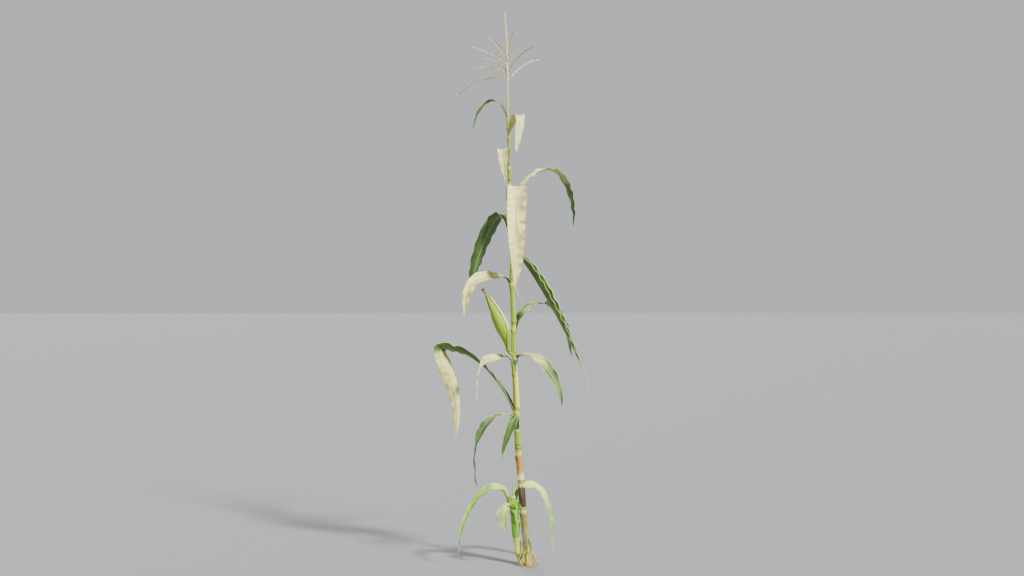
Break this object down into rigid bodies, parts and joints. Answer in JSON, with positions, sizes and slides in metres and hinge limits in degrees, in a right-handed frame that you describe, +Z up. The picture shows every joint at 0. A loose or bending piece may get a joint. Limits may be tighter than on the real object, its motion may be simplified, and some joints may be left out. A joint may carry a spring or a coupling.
{
  "type": "maize plant",
  "caption": "Rooted field maize plant: leaning jointed stalk, arching strap leaves with sheaths, dry lower sheaths, ear in its husk, straw tassel and young tiller at the foot.",
  "frame": {"origin": "middle of the flat cut under the main stalk, at ground level", "axes": "+Z up along the growing direction, +X to the right and +Y to the back in the plant's front view"},
  "size_m": [0.6278, 0.4748, 2.3003],
  "materials": {
    "stalk": "ribbed yellow-green stem, waxy",
    "tiller_stem": "young green stem, waxy",
    "dry_sheath": "dry papery tan and brown",
    "leaf": "veined, satin, bleached on top",
    "young_leaf": "veined, satin, fresh green",
    "husk": "veined, papery yellow-green",
    "silk": "dry brown threads",
    "tassel": "dry straw, matt"
  },
  "bodies": {
    "root": {"stalk": "stalk", "sheath_1": "dry_sheath", "sheath_2": "dry_sheath", "sheath_3": "dry_sheath", "leaf_01_rise": "leaf", "leaf_01_fall": "leaf", "leaf_02_rise": "leaf", "leaf_02_fall": "leaf", "leaf_03_sheath": "leaf", "leaf_03_rise": "leaf", "leaf_03_fall": "leaf", "leaf_04_sheath": "leaf", "leaf_04_rise": "leaf", "leaf_04_fall": "leaf", "leaf_05_rise": "leaf", "leaf_05_fall": "leaf", "leaf_06_sheath": "leaf", "leaf_06_rise": "leaf", "leaf_06_fall": "leaf", "leaf_07_sheath": "leaf", "leaf_07_rise": "leaf", "leaf_07_fall": "leaf", "leaf_08_sheath": "leaf", "leaf_08_rise": "leaf", "leaf_08_fall": "leaf", "leaf_09_sheath": "leaf", "leaf_09_rise": "leaf", "leaf_09_fall": "leaf", "leaf_10_sheath": "leaf", "leaf_10_rise": "leaf", "leaf_10_fall": "leaf", "leaf_11_sheath": "leaf", "leaf_11_rise": "leaf", "leaf_11_fall": "leaf", "leaf_12_sheath": "leaf", "leaf_12_rise": "leaf", "leaf_12_fall": "leaf", "leaf_13_sheath": "leaf", "leaf_13_rise": "leaf", "leaf_13_fall": "leaf", "leaf_14_sheath": "leaf", "leaf_14_rise": "leaf", "leaf_14_fall": "leaf", "tiller_leaf_1_sheath": "young_leaf", "tiller_leaf_1_rise": "young_leaf", "tiller_leaf_1_fall": "young_leaf", "tiller_leaf_2_sheath": "young_leaf", "tiller_leaf_2_rise": "young_leaf", "tiller_leaf_2_fall": "young_leaf", "tiller_leaf_3_sheath": "young_leaf", "tiller_leaf_3_rise": "young_leaf", "tiller_leaf_3_fall": "young_leaf", "ear_shank": "stalk", "ear_husk": "husk", "ear_silk": "silk", "tassel": "tassel", "tiller_stem": "tiller_stem", "tiller_spindle": "young_leaf"}
  },
  "joints": []
}
